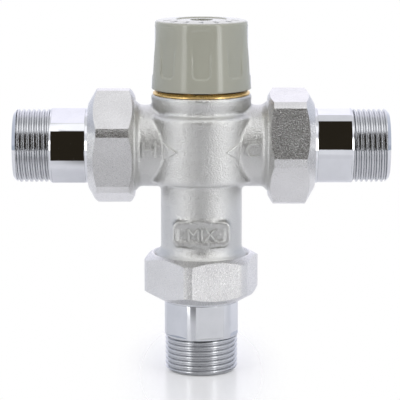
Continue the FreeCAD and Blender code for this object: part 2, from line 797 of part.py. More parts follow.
def make_adjuster():
    adjuster = new_body("adjuster")
    ring_bottom = adjuster_bottom + size.retaining_height
    ring_radius = cup_bore + size.retaining_grip
    ring_bore = cup_bore - size.retaining_reach
    thread_bore = size.spindle_thread_radius + size.thread_gap
    turn_outline(adjuster, [
        (cup_bore, adjuster_bottom),
        (adjuster_radius, adjuster_bottom),
        (adjuster_radius, adjuster_top),
        (thread_bore, adjuster_top),
        (thread_bore, adjuster_floor),
        (cup_bore, adjuster_floor),
        (cup_bore, cup_floor),
        (ring_radius, cup_floor),
        (ring_radius, ring_bottom),
        (cup_bore, ring_bottom),
    ])
    keys = new_sketch(adjuster, "XZ_Plane")
    for side in (as_size(1), as_size(-1)):
        inner = side * (size.guide_bore - size.key_reach)
        outer = side * (size.guide_bore + size.key_reach)
        draw_outline(keys, [(inner, adjuster_floor), (outer, adjuster_floor),
                            (outer, adjuster_top), (inner, adjuster_top)])
    tabs = adjuster.newObject("PartDesign::Pad", "Keys")
    tabs.Profile = keys
    bind(tabs, "Length", size.key_width)
    tabs.Midplane = True

    ring = new_body("retaining_ring")
    turn_outline(ring, [(ring_bore, ring_bottom), (ring_radius, ring_bottom),
                        (ring_radius, cup_floor), (ring_bore, cup_floor)])
    opening = new_sketch(ring, "XZ_Plane")
    draw_outline(opening, [(as_size(0), ring_bottom), (ring_radius + size.retaining_grip, ring_bottom),
                           (ring_radius + size.retaining_grip, cup_floor), (as_size(0), cup_floor)])
    mill(ring, opening, size.retaining_opening)

    cup = new_body("overtravel_cup")
    seat_radius = size.pin_radius + size.running_gap
    boss_radius = overtravel_coil_radius - size.overtravel_wire - size.cup_boss_gap
    turn_outline(cup, [
        (0, cup_floor + size.pin_seat),
        (seat_radius, cup_floor + size.pin_seat),
        (seat_radius, cup_floor),
        (cup_bore - size.running_gap, cup_floor),
        (cup_bore - size.running_gap, cup_top),
        (boss_radius, cup_top),
        (boss_radius, cup_top + size.cup_boss_height),
        (0, cup_top + size.cup_boss_height),
    ])
    coil_spring("overtravel_spring", overtravel_coil_radius, size.overtravel_wire, size.overtravel_coils,
                adjuster_floor - cup_top, (0, 0, port_height + cup_top))


def make_element():
    element = new_body("wax_element")
    collar_top = size.web_thickness + size.element_collar_thickness
    collar_radius = size.bulb_radius + size.element_collar_step
    stem_top = adjuster_bottom - size.stem_gap
    pin_top = cup_floor + size.pin_seat
    pin_bottom = pin_top - size.pin_length
    guide = size.pin_radius + size.running_gap
    bulb_end = size.web_thickness - size.bulb_length
    solid = turn_outline(element, [
        (0, bulb_end),
        (size.bulb_radius, bulb_end),
        (size.bulb_radius, size.web_thickness),
        (collar_radius, size.web_thickness),
        (collar_radius, collar_top),
        (size.stem_radius, collar_top),
        (size.stem_radius, stem_top),
        (guide, stem_top),
        (guide, pin_bottom - size.pin_room),
        (0, pin_bottom - size.pin_room),
    ])
    round_edges(element, solid, size.bulb_round, ring_edge(size.bulb_radius, bulb_end))

    pin = new_body("element_pin")
    turn_outline(pin, [(0, pin_bottom), (size.pin_radius, pin_bottom),
                       (size.pin_radius, pin_top), (0, pin_top)])


def make_shutter():
    shutter = new_body("shutter")
    groove_floor = land_radius - size.ring_gap - size.ring_section * 2
    groove_middle = size.web_thickness / 2
    groove_half = size.ring_section + size.groove_gap
    hub_bore = size.bulb_radius + size.running_gap
    turn_outline(shutter, [
        (shutter_bore, -shutter_bottom),
        (shutter_radius, -shutter_bottom),
        (shutter_radius, groove_middle - groove_half),
        (groove_floor, groove_middle - groove_half),
        (groove_floor, groove_middle + groove_half),
        (shutter_radius, groove_middle + groove_half),
        (shutter_radius, shutter_top),
        (shutter_bore, shutter_top),
        (shutter_bore, size.web_thickness),
        (hub_bore, size.web_thickness),
        (hub_bore, as_size(0)),
        (shutter_bore, as_size(0)),
    ])
    slot = new_sketch(shutter, "XY_Plane")
    slot_outer = (shutter_bore - size.web_slot_gap) * math.cos(math.radians(30))
    slot_half = slot_outer * math.tan(math.radians(30))
    draw_outline(slot, [(web_hub_radius, -slot_half), (slot_outer, -slot_half),
                        (slot_outer, slot_half), (web_hub_radius, slot_half)])
    opening = mill(shutter, slot, size.web_thickness, both_ways=False, inward=True)
    repeat(shutter, opening, size.web_slot_count)
    rubber_ring("shutter_o_ring", groove_floor + size.ring_section, groove_middle)
    coil_spring("return_spring", return_coil_radius, size.return_wire, size.return_coils, ledge_depth,
                (0, 0, port_height - ledge_depth))


def make_union(port, base, rotation, nut_turn, hex_turn):
    """The gasket, tailpiece and nut on one port. Each is drawn upright from the port's face."""
    nut_rotation = rotation * Rotation(Vector(0, 0, 1), nut_turn.value)
    hex_rotation = rotation * Rotation(Vector(0, 0, 1), hex_turn.value)

    gasket = new_body("gasket_" + port, base, rotation)
    turn_outline(gasket, [(gasket_bore, 0), (flange_radius, 0),
                          (flange_radius, size.gasket_thickness), (gasket_bore, size.gasket_thickness)])

    tail = new_body("tailpiece_" + port, base, hex_rotation)
    turn_outline(tail, [
        (check_bore, size.gasket_thickness),
        (flange_radius, size.gasket_thickness),
        (flange_radius, union_stack),
        (shank_radius, union_stack),
        (shank_radius, hex_end + size.hex_collar),
        (size.tail_thread_radius, hex_end + size.hex_collar),
        (size.tail_thread_radius, tail_end - size.tail_chamfer),
        (size.tail_thread_radius - size.tail_chamfer, tail_end),
        (tail_bore, tail_end),
        (tail_bore, check_ledge),
        (check_bore, check_ledge),
    ])
    flat = new_sketch(tail, "XZ_Plane", turn=30)
    reach = shank_radius + size.hex_collar
    draw_outline(flat, [(hex_half, hex_start), (reach, hex_start),
                        (reach, hex_end), (hex_half, hex_end)])
    repeat(tail, mill(tail, flat, shank_radius * 2), 6)

    nut = new_body("union_nut_" + port, base, nut_rotation)
    prism = nut.newObject("PartDesign::AdditivePrism", "Hexagon")
    prism.AttachmentSupport = [(origin_plane(nut, "XY_Plane"), "")]
    prism.MapMode = "FlatFace"
    prism.Polygon = 6
    bind(prism, "Circumradius", nut_half / math.cos(math.radians(30)))
    bind(prism, "Height", size.nut_cover + nut_end)
    bind(prism, "AttachmentOffset.Base.z", -size.nut_cover)
    corner_radius = nut_half + size.nut_corner_reach
    end_radius = nut_half - size.nut_end_inset
    face_radius = nut_half - size.nut_face_inset
    outside = nut_half * 2
    cut_outline(nut, [(corner_radius, -size.nut_cover), (outside, -size.nut_cover),
                      (outside, nut_end), (corner_radius, nut_end)])
    cut_outline(nut, [
        [(end_radius, nut_end), (outside, nut_end),
         (outside, nut_end - (outside - end_radius) * size.nut_chamfer_slope)],
        [(face_radius, -size.nut_cover), (outside, -size.nut_cover),
         (outside, (outside - face_radius) * size.nut_chamfer_slope - size.nut_cover)],
    ])
    thread_bore = union_thread_radius + size.thread_gap
    cut_outline(nut, [
        (0, -size.nut_cover),
        (thread_bore + size.thread_chamfer, -size.nut_cover),
        (thread_bore, size.thread_chamfer - size.nut_cover),
        (thread_bore, union_stack),
        (lip_bore, union_stack),
        (lip_bore, nut_end),
        (0, nut_end),
    ])


def make_check_valve(port, base, rotation):
    """The strainer and the check valve that stand in an inlet tailpiece."""
    strainer = new_body("strainer_" + port, base, rotation)
    cup_radius = tail_bore - size.strainer_gap
    cup_end = check_end + size.strainer_rim + size.strainer_length
    turn_outline(strainer, [
        (cup_radius - size.strainer_wall, check_end),
        (check_radius, check_end),
        (check_radius, check_ledge),
        (cup_radius, check_ledge),
        (cup_radius, cup_end),
        (0, cup_end),
        (0, cup_end - size.strainer_wall),
        (cup_radius - size.strainer_wall, cup_end - size.strainer_wall),
    ])
    slot = new_sketch(strainer, "XZ_Plane")
    slot_half = size.strainer_slot / 2
    slot_start = check_ledge + size.strainer_edge
    slot_end = cup_end - size.strainer_edge
    draw_outline(slot, [(-slot_half, slot_start), (slot_half, slot_start),
                        (slot_half, slot_end), (-slot_half, slot_end)])
    cut = mill(strainer, slot, cup_radius * 2 + size.strainer_gap)
    repeat(strainer, cut, size.strainer_cuts, 180 - 180 / size.strainer_cuts.value)

    housing = new_body("check_housing_" + port, base, rotation)
    stem_bore = size.poppet_stem + size.running_gap
    turn_outline(housing, [
        (stem_bore, size.gasket_thickness),
        (check_radius, size.gasket_thickness),
        (check_radius, check_end),
        (check_seat_hole, check_end),
        (check_seat_hole, check_seat),
        (check_inner, check_seat),
        (check_inner, check_guide),
        (stem_bore, check_guide),
    ])
    window = new_sketch(housing, "XY_Plane")
    window_radius = (check_inner - stem_bore) / 2 - size.check_window_edge
    draw_circle(window, (check_inner + stem_bore) / 2, 0, window_radius)
    opening = mill(housing, window, check_guide, both_ways=False, inward=True)
    repeat(housing, opening, size.check_window_count)

    poppet = new_body("check_poppet_" + port, base, rotation)
    rim = check_inner - size.poppet_rim_gap
    back = check_seat - size.poppet_thickness
    nose_radius = check_seat_hole - size.poppet_nose_gap
    turn_outline(poppet, [
        (0, size.gasket_thickness - size.poppet_tail),
        (size.poppet_stem, size.gasket_thickness - size.poppet_tail),
        (size.poppet_stem, back),
        (rim, back),
        (rim, check_seat),
        (nose_radius, check_seat),
        (nose_radius - size.poppet_nose, check_seat + size.poppet_nose),
        (0, check_seat + size.poppet_nose),
    ])
    outward = rotation.multVec(Vector(0, 0, 1))
    foot = [start + check_guide * direction for start, direction in zip(base, outward)]
    coil_radius = size.poppet_stem + size.check_coil_gap + size.check_wire
    coil_spring("check_spring_" + port, coil_radius, size.check_wire, size.check_coils,
                back - check_guide, foot, rotation)


make_valve_body()
make_bonnet()
make_spindle()
make_knob()
make_adjuster()
make_element()
make_shutter()

zero = as_size(0)
ports = {
    "hot": ((-inlet_reach, zero, port_height), Rotation(Vector(0, 1, 0), -90)),
    "cold": ((inlet_reach, zero, port_height), Rotation(Vector(0, 1, 0), 90)),
    "mixed": ((zero, zero, tail_end), Rotation(Vector(0, 1, 0), 180)),
}
make_union("hot", *ports["hot"], size.hot_nut_turn, size.hot_hex_turn)
make_union("cold", *ports["cold"], size.cold_nut_turn, size.cold_hex_turn)
make_union("mixed", *ports["mixed"], size.mixed_nut_turn, size.mixed_hex_turn)
make_check_valve("hot", *ports["hot"])
make_check_valve("cold", *ports["cold"])
doc.recompute()

failed = [item.Name for item in doc.Objects if "Invalid" in item.State or "Error" in item.State]
for label, piece in pieces.items():
    if piece.Shape.isNull() or not piece.Shape.isValid() or piece.Shape.Volume <= 0:
        failed.append(label)
if failed:
    raise RuntimeError("not built: " + ", ".join(failed))

os.makedirs("parts", exist_ok=True)
for label, piece in pieces.items():
    piece.Shape.exportStep(os.path.join("parts", label + ".step"))
    print(f"{label}: {len(piece.Shape.Solids)} solid, {piece.Shape.Volume / 1000:.2f} cubic cm")
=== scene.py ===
import math

import bmesh
import bpy
from mathutils import Matrix, Vector
from mathutils.bvhtree import BVHTree


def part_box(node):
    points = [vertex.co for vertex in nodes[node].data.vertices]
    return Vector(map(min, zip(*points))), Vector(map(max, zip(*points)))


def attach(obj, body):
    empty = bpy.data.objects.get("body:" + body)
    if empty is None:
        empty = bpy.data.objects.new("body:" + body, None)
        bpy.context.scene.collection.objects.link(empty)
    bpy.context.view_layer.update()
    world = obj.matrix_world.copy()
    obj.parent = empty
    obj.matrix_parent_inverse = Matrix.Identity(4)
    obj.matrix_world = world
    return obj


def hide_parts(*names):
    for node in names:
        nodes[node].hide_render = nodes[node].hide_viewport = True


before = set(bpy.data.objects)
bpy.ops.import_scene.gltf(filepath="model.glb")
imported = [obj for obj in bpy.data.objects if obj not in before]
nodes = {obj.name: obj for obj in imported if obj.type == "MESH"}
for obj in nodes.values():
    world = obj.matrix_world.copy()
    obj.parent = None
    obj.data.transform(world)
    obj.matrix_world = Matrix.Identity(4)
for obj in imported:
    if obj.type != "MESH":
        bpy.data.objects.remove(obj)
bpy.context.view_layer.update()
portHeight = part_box("strainer_hot")[0].z / 2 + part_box("strainer_hot")[1].z / 2
gaps = {"cut": 1e-9, "weld": 1e-7, "seam": 1e-6}  # metres within which points count as one
print("frame loaded:", len(nodes), "nodes, inlets at", round(portHeight, 4))


# shader nodes for the finishes, the studio and the floor
def feed(tree, socket, value):
    if isinstance(value, bpy.types.NodeSocket):
        tree.links.new(value, socket)
    else:
        socket.default_value = value


def mathNode(tree, operation, *values, kind="ShaderNodeMath", output="Value"):
    made = tree.nodes.new(kind)
    made.operation = operation
    for socket, value in zip(made.inputs, values):
        feed(tree, socket, value)
    return made.outputs[output]


def rangeNode(tree, value, start, stop, low=0.0, high=1.0, kind="LINEAR"):
    made = tree.nodes.new("ShaderNodeMapRange")
    made.interpolation_type = kind
    settings = {"Value": value, "From Min": start, "From Max": stop, "To Min": low, "To Max": high}
    for name, setting in settings.items():
        feed(tree, made.inputs[name], setting)
    return made.outputs["Result"]


def mixColour(tree, factor, first, second):
    made = tree.nodes.new("ShaderNodeMix")
    made.data_type = "RGBA"
    for name, value in (("Factor", factor), ("A", first), ("B", second)):
        feed(tree, made.inputs[name], (*value, 1) if isinstance(value, tuple) else value)
    return made.outputs["Result"]


def objectPlace(tree):
    return tree.nodes.new("ShaderNodeTexCoord").outputs["Object"]


def meshValue(tree, name):
    made = tree.nodes.new("ShaderNodeAttribute")
    made.attribute_name = name
    return made.outputs["Fac"]


# finishes
pattern = {"low": 0.3, "high": 0.7, "patchDetail": 3.0, "grainDetail": 2.0, "peelDetail": 1.5}


def newFinish(name):
    finish = bpy.data.materials.new(name)
    finish.use_nodes = True
    tree = finish.node_tree
    return finish, tree, tree.nodes["Principled BSDF"]


def objectPattern(tree, scale, detail):
    noise = tree.nodes.new("ShaderNodeTexNoise")
    noise.inputs["Scale"].default_value = scale
    noise.inputs["Detail"].default_value = detail
    tree.links.new(objectPlace(tree), noise.inputs["Vector"])
    return noise.outputs["Fac"]


def spread(tree, noise, low, high):
    return rangeNode(tree, noise, pattern["low"], pattern["high"], low, high)


def relief(tree, noise, depth, below=None):
    bump = tree.nodes.new("ShaderNodeBump")
    bump.inputs["Distance"].default_value = depth
    tree.links.new(noise, bump.inputs["Height"])
    if below is not None:
        tree.links.new(below, bump.inputs["Normal"])
    return bump.outputs["Normal"]


def makeFinish(look):
    finish, tree, shader = newFinish(look["name"])
    shader.inputs["Metallic"].default_value = look["metal"]
    patches = objectPattern(tree, look["patchScale"], pattern["patchDetail"])
    colour = mixColour(tree, spread(tree, patches, 0, 1), look["dark"], look["pale"])
    grain = objectPattern(tree, look["grainScale"], pattern["grainDetail"])
    roughness = spread(tree, grain, *look["roughness"])
    if "groove" in look:
        # painted shade: a cut thread is painted darker, a little at its crest and most at its root where
        # shade falls in the grooves, and it is duller than the polished flats beside it
        depth = mathNode(tree, "MULTIPLY", meshValue(tree, "groove"), look["groove"])
        colour = mixColour(tree, depth, colour, look["grooveColour"])
        roughness = mathNode(tree, "MULTIPLY_ADD", meshValue(tree, "threaded"), look["cut"], roughness)
    normal = relief(tree, grain, look["grainDepth"])
    if "peelDepth" in look:
        peel = objectPattern(tree, look["peelScale"], pattern["peelDetail"])
        normal = relief(tree, peel, look["peelDepth"], normal)
    tree.links.new(colour, shader.inputs["Base Color"])
    tree.links.new(roughness, shader.inputs["Roughness"])
    tree.links.new(normal, shader.inputs["Normal"])
    return finish


looks = {
    "body_chrome": {
        "name": "castChrome", "metal": 1.0, "patchScale": 90,
        "dark": (0.605, 0.605, 0.585), "pale": (0.66, 0.66, 0.64), "roughness": (0.27, 0.36),
        "grainScale": 4200, "grainDepth": 0.00008, "peelScale": 1900, "peelDepth": 0.00023,
    },
    "nut_chrome": {
        "name": "satinChrome", "metal": 1.0, "patchScale": 120,
        "dark": (0.675, 0.67, 0.66), "pale": (0.735, 0.73, 0.72), "roughness": (0.235, 0.315),
        "grainScale": 4200, "grainDepth": 0.00004, "peelScale": 2300, "peelDepth": 0.00011,
    },
    "tail_chrome": {
        "name": "polishedChrome", "metal": 1.0, "patchScale": 200,
        "dark": (0.64, 0.65, 0.665), "pale": (0.69, 0.70, 0.715), "roughness": (0.03, 0.06),
        "grainScale": 1500, "grainDepth": 0.000001,
        "groove": 0.26, "grooveColour": (0.02, 0.025, 0.03), "cut": 0.16,
    },
    "brass": {
        "name": "turnedBrass", "metal": 1.0, "patchScale": 250,
        "dark": (0.84, 0.57, 0.22), "pale": (0.93, 0.67, 0.29), "roughness": (0.24, 0.34),
        "grainScale": 2500, "grainDepth": 0.000004,
    },
    "copper": {
        "name": "drawnCopper", "metal": 1.0, "patchScale": 300,
        "dark": (0.62, 0.27, 0.16), "pale": (0.74, 0.36, 0.23), "roughness": (0.2, 0.32),
        "grainScale": 2500, "grainDepth": 0.000004,
    },
    "knob_plastic": {
        "name": "mouldedGrey", "metal": 0.0, "patchScale": 60,
        "dark": (0.37, 0.37, 0.305), "pale": (0.395, 0.395, 0.33), "roughness": (0.1, 0.14),
        "grainScale": 4500, "grainDepth": 0.000001,
    },
    "steel": {
        "name": "springSteel", "metal": 1.0, "patchScale": 400,
        "dark": (0.48, 0.48, 0.49), "pale": (0.58, 0.58, 0.59), "roughness": (0.22, 0.32),
        "grainScale": 2500, "grainDepth": 0.000004,
    },
    "rubber": {
        "name": "sealRubber", "metal": 0.0, "patchScale": 300,
        "dark": (0.012, 0.012, 0.013), "pale": (0.03, 0.03, 0.031), "roughness": (0.5, 0.65),
        "grainScale": 3000, "grainDepth": 0.00001,
    },
    "fibre": {
        "name": "gasketFibre", "metal": 0.0, "patchScale": 700,
        "dark": (0.19, 0.05, 0.035), "pale": (0.30, 0.09, 0.06), "roughness": (0.7, 0.9),
        "grainScale": 2000, "grainDepth": 0.00003,
    },
    "white_plastic": {
        "name": "whiteAcetal", "metal": 0.0, "patchScale": 80,
        "dark": (0.72, 0.72, 0.70), "pale": (0.78, 0.78, 0.76), "roughness": (0.35, 0.45),
        "grainScale": 4000, "grainDepth": 0.000003,
    },
    "grey_plastic": {
        "name": "greyAcetal", "metal": 0.0, "patchScale": 80,
        "dark": (0.20, 0.205, 0.21), "pale": (0.25, 0.255, 0.26), "roughness": (0.35, 0.45),
        "grainScale": 4000, "grainDepth": 0.000003,
    },
}
finishes = {slot: makeFinish(look) for slot, look in looks.items()}
for node in nodes.values():
    for slot in node.material_slots:
        slot.material = finishes[slot.material.name.split(".")[0]]
print("finishes made:", len(finishes))


# pieces
def finishPiece(bm, name, body, slot, sharpAngle):
    bmesh.ops.remove_doubles(bm, verts=bm.verts, dist=gaps["weld"])
    bmesh.ops.recalc_face_normals(bm, faces=bm.faces)
    for face in bm.faces:
        face.smooth = True
    for edge in bm.edges:
        edge.smooth = edge.smooth and edge.calc_face_angle(0) < math.radians(sharpAngle)
    mesh = bpy.data.meshes.new(name)
    bm.to_mesh(mesh)
    bm.free()
    mesh.materials.append(finishes[slot])
    piece = bpy.data.objects.new(name, mesh)
    bpy.context.scene.collection.objects.link(piece)
    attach(piece, body)
    return piece


def countTriangles(piece):
    return sum(len(face.vertices) - 2 for face in piece.data.polygons)


def wholeMesh(bm):
    return bm.verts[:] + bm.edges[:] + bm.faces[:]


def newOutline(bm, points):
    verts = [bm.verts.new((radius, 0, height)) for radius, height in points]
    edges = [bm.edges.new(pair) for pair in zip(verts, verts[1:])]
    return verts + edges


# tailpieces with a real pipe thread, measured along each one from the port's face
tail = {
    "steps": 96, "sharpAngle": 35, "bore": 0.0095, "checkBore": 0.0106, "checkLedge": 0.0150,
    "flangeStart": 0.0020, "flangeEnd": 0.0048,
    "flats": 6, "flatStart": 0.0086, "flatEnd": 0.0206, "flatArea": 3e-5, "flatTilt": 1e-3,
    "edge": 0.00012, "lip": 0.0075, "lipRadius": 0.01384, "rootRadius": 0.01345, "runRadius": 0.01334,
    "threadStart": 0.02115, "end": 0.0345, "chamfer": 0.0014, "lead": 0.00125, "runIn": 1.01,
    "crest": 0.01322, "root": 0.01244, "pitch": 0.001814, "crestFlat": 0.0005, "rootFlat": 0.0005,
    "cornerRadius": 0.00012, "flank": 62.5, "arcSteps": 3, "crestShade": 0.4,
    "turn": {"hot": -2.5, "cold": 0, "mixed": 3},
}
tailAxes = {"hot": (-1, 0, 0), "cold": (1, 0, 0), "mixed": (0, 0, -1)}


def measurePort(port):
    # the port's frame: +Z out of the valve, one spanner flat of the CAD tailpiece facing +X, and its radii
    axis = Vector(tailAxes[port])
    low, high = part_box("tailpiece_" + port)
    base = (low + high) / 2 - axis * (tail["end"] + tail["flangeStart"]) / 2
    mesh = nodes["tailpiece_" + port].data
    flats = [face for face in mesh.polygons
             if abs(face.normal.dot(axis)) < tail["flatTilt"] and face.area > tail["flatArea"]
             and tail["flatStart"] < (face.center - base).dot(axis) < tail["flatEnd"]]
    flat = min(flats, key=lambda face: (face.center - base).dot(face.normal))
    facing = flat.normal.copy()
    turned = Matrix((facing, axis.cross(facing), axis)).transposed()
    place = Matrix.Translation(base) @ turned.to_4x4()
    points = [place.inverted() @ vert.co for vert in mesh.vertices]
    radii = {
        "flatHalf": (flat.center - base).dot(facing),
        "flangeRadius": max(point.xy.length for point in points),
        "shankRadius": max(point.xy.length for point in points if point.z > tail["flatStart"]),
    }
    return place, radii


def threadOutline(size):
    # half a pitch rises from the flat root to the flat crest with its round corner, and the rest mirrors it
    corner = size["cornerRadius"]
    flank = math.radians(size["flank"])
    start = (size["pitch"] - size["crestFlat"]) / 2 + corner * math.tan(flank / 2)
    rising = [(size["root"], 0), (size["root"], size["rootFlat"] / 2)]
    for step in range(size["arcSteps"] + 1):
        turn = flank * (1 - step / size["arcSteps"])
        rising.append((size["crest"] - corner * (1 - math.cos(turn)), start - corner * math.sin(turn)))
    return rising + [(radius, size["pitch"] - along) for radius, along in reversed(rising)]


def addThread(bm, size):
    start = size["threadStart"] - size["pitch"] * size["runIn"]
    stop = size["end"] - size["lead"]
    turns = math.ceil((stop - start) / size["pitch"])
    outline = newOutline(bm, [(radius, start + along) for radius, along in threadOutline(size)])
    bmesh.ops.spin(bm, geom=outline, cent=(0, 0, 0), axis=(0, 0, 1), angle=math.tau * turns,
                   dvec=(0, 0, size["pitch"] / size["steps"]), steps=size["steps"] * turns)
    bmesh.ops.remove_doubles(bm, verts=bm.verts, dist=gaps["seam"])
    # painted shade: each point's share of the thread's painted darkening, crestShade at the crest rising to
    # 1 at the root
    groove = bm.verts.layers.float.new("groove")
    threaded = bm.verts.layers.float.new("threaded")
    for vert in bm.verts:
        depth = (size["crest"] - vert.co.xy.length) / (size["crest"] - size["root"])
        vert[groove] = size["crestShade"] + (1 - size["crestShade"]) * depth
        vert[threaded] = 1
    for height, side in ((size["threadStart"], -1), (stop, 1)):
        bmesh.ops.bisect_plane(bm, geom=wholeMesh(bm), dist=gaps["cut"],
                               plane_co=(0, 0, height), plane_no=(0, 0, side), clear_outer=True)


def onFlats(face, size):
    return size["flatStart"] < face.calc_center_median().z < size["flatEnd"]


def cutFlat(bm, size, angle):
    # the round shank beyond the flat is taken off, and a flat and two ledges close the gap
    normal = Vector((math.cos(angle), math.sin(angle), 0))
    band = [face for face in bm.faces if onFlats(face, size)
            and face.calc_center_median().xy.length > size["flatHalf"] - size["edge"]]
    bandEdges = list({edge for face in band for edge in face.edges})
    bmesh.ops.bisect_plane(bm, geom=band + bandEdges, dist=gaps["cut"],
                           plane_co=normal * size["flatHalf"], plane_no=normal)
    beyond = [face for face in bm.faces if onFlats(face, size)
              and face.calc_center_median().dot(normal) > size["flatHalf"] + gaps["weld"]]
    rim = {edge for face in beyond for edge in face.edges}
    bmesh.ops.delete(bm, geom=beyond, context="FACES")
    rim = [edge for edge in rim if edge.is_valid and edge.is_boundary]
    chords = []
    for height in (size["flatStart"], size["flatEnd"]):
        arc = [edge for edge in rim if all(abs(vert.co.z - height) < gaps["weld"] for vert in edge.verts)]
        ends = [vert for vert in {corner for edge in arc for corner in edge.verts}
                if sum(edge in vert.link_edges for edge in arc) == 1]
        chord = bm.edges.new(ends)
        bmesh.ops.contextual_create(bm, geom=arc + [chord])
        chords.append(chord)
    made = bmesh.ops.bridge_loops(bm, edges=chords)
    for face in made["faces"]:
        for edge in face.edges:
            edge.smooth = False


def makeTailpiece(port):
    place, radii = measurePort(port)
    size = tail | radii
    stop = size["end"] - size["lead"]
    chamfered = size["crest"] - size["chamfer"]
    ledge = size["flatStart"] - size["edge"]
    bm = bmesh.new()
    addThread(bm, size)
    outline = newOutline(bm, [
        (chamfered + size["lead"], stop), (chamfered, size["end"]), (size["bore"], size["end"]),
        (size["bore"], size["checkLedge"]), (size["checkBore"], size["checkLedge"]),
        (size["checkBore"], size["flangeStart"]), (size["flangeRadius"], size["flangeStart"]),
        (size["flangeRadius"], size["flangeEnd"]), (size["shankRadius"], size["flangeEnd"]),
        (size["shankRadius"], size["lip"] - size["edge"]), (size["lipRadius"], size["lip"]),
        (size["rootRadius"], ledge), (size["shankRadius"], ledge),
        (size["shankRadius"], size["flatStart"]), (size["shankRadius"], size["flatEnd"]),
        (size["runRadius"], size["threadStart"]),
    ])
    bmesh.ops.spin(bm, geom=outline, cent=(0, 0, 0), axis=(0, 0, 1), dvec=(0, 0, 0),
                   angle=math.tau, steps=size["steps"], use_merge=True)
    bmesh.ops.remove_doubles(bm, verts=bm.verts, dist=gaps["weld"])
    for height in (size["threadStart"], stop):
        loops = [edge for edge in bm.edges if edge.is_boundary
                 and all(abs(vert.co.z - height) < gaps["seam"] for vert in edge.verts)]
        bmesh.ops.bridge_loops(bm, edges=loops)
    for flat in range(size["flats"]):
        cutFlat(bm, size, math.radians(360 / size["flats"] * flat + size["turn"][port]))
    bmesh.ops.transform(bm, matrix=place, verts=bm.verts)
    piece = finishPiece(bm, "threaded_tail_" + port, "valve", "tail_chrome", size["sharpAngle"])
    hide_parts("tailpiece_" + port)
    return piece


for port in tailAxes:
    print("tailpiece", port, countTriangles(makeTailpiece(port)), "triangles")


# cast body: the CAD body made one skin and softened as a casting is, with raised marks laid on its front
cast = {
    "voxel": 0.00054, "passes": 3, "sharpAngle": 60,
    "neckPasses": 12, "neckLow": 0.0112, "neckHigh": 0.0172, "neckInside": 0.0160,
    "tubeRadius": 0.01475, "flare": 0.0013, "flareHeight": 0.0032, "flareTop": 0.0085,
    "plaqueFoot": 0.0042, "plaqueHalfAngle": 47,
    "raise": 0.0009, "sink": 0.0006, "round": 0.00025,
    "letters": [("H", -0.0186, 0.0, 0.0090), ("C", 0.0180, 0.0, 0.0074), ("MIX", 0.0, -0.0306, 0.0062)],
    "arrowBase": 0.0136, "arrowTip": 0.0088, "arrowHalf": 0.0030, "arrowSteps": 3,
}
smoothShare = 0.5  # how far each pass moves a point towards its neighbours
marks = {"thick": 0.0009, "roundSteps": 2, "grid": 0.0007}  # as drawn, before they are laid on a surface


def smooth(bm, verts, passes):
    for _ in range(passes):
        bmesh.ops.smooth_vert(bm, verts=verts, factor=smoothShare,
                              use_axis_x=True, use_axis_y=True, use_axis_z=True)


def softSkin(node, voxel, passes):
    bm = bmesh.new()
    bm.from_mesh(nodes[node].data)
    bmesh.ops.remove_doubles(bm, verts=bm.verts, dist=gaps["seam"])
    rough = bpy.data.meshes.new(node + "Rough")
    bm.to_mesh(rough)
    bm.free()
    holder = bpy.data.objects.new(node + "Rough", rough)
    bpy.context.scene.collection.objects.link(holder)
    remesh = holder.modifiers.new("skin", "REMESH")
    remesh.mode = "VOXEL"
    remesh.voxel_size = voxel
    skin = bpy.data.meshes.new_from_object(holder.evaluated_get(bpy.context.evaluated_depsgraph_get()))
    bpy.data.objects.remove(holder)
    bpy.data.meshes.remove(rough)
    bm = bmesh.new()
    bm.from_mesh(skin)
    bpy.data.meshes.remove(skin)
    smooth(bm, bm.verts[:], passes)
    return bm


def inNeck(place):
    return cast["neckLow"] < place.z - portHeight < cast["neckHigh"] and place.xy.length > cast["neckInside"]


def tightenFlare(bm):
    # the tube's foot flares out only just above its union nut, and the plaque on its front is left alone
    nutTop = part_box("union_nut_mixed")[1].z
    for vert in bm.verts:
        height = vert.co.z - nutTop
        radius = vert.co.xy.length
        if 0 < height < cast["flareTop"] and radius > cast["tubeRadius"]:
            bearing = abs(math.degrees(math.atan2(vert.co.x, -vert.co.y)))
            reach = max(0, 1 - height / cast["flareHeight"])
            limit = cast["tubeRadius"] + cast["flare"] * reach * reach
            if bearing > cast["plaqueHalfAngle"] or height < cast["plaqueFoot"]:
                vert.co.xy *= min(1, limit / radius)


def letterShape(letters, size, rounding):
    curve = bpy.data.curves.new("letterCurve", "FONT")
    curve.body = letters
    curve.size = size
    curve.align_x = "CENTER"
    curve.align_y = "CENTER"
    curve.extrude = marks["thick"]
    curve.bevel_depth = rounding
    curve.offset = -rounding
    curve.bevel_resolution = marks["roundSteps"]
    holder = bpy.data.objects.new("letterCurve", curve)
    mesh = bpy.data.meshes.new_from_object(holder)
    bpy.data.objects.remove(holder)
    bm = bmesh.new()
    bm.from_mesh(mesh)
    bpy.data.meshes.remove(mesh)
    bmesh.ops.remove_doubles(bm, verts=bm.verts, dist=gaps["seam"])
    return bm


def arrowShape(side):
    bm = bmesh.new()
    base, tip, half = cast["arrowBase"], cast["arrowTip"], cast["arrowHalf"]
    corners = [(base, -half), (base, half), (tip, 0)]
    verts = [bm.verts.new((side * across, up, -marks["thick"])) for across, up in corners]
    flat = bmesh.ops.contextual_create(bm, geom=verts)["faces"]
    made = bmesh.ops.extrude_face_region(bm, geom=flat, use_keep_orig=True)["geom"]
    front = [item for item in made if isinstance(item, bmesh.types.BMVert)]
    bmesh.ops.translate(bm, vec=(0, 0, 2 * marks["thick"]), verts=front)
    rim = [edge for edge in bm.edges if all(vert in front for vert in edge.verts)]
    bmesh.ops.bevel(bm, geom=rim, offset=cast["round"], offset_type="OFFSET", segments=cast["arrowSteps"],
                    profile=0.5, affect="EDGES", material=-1)
    return bm


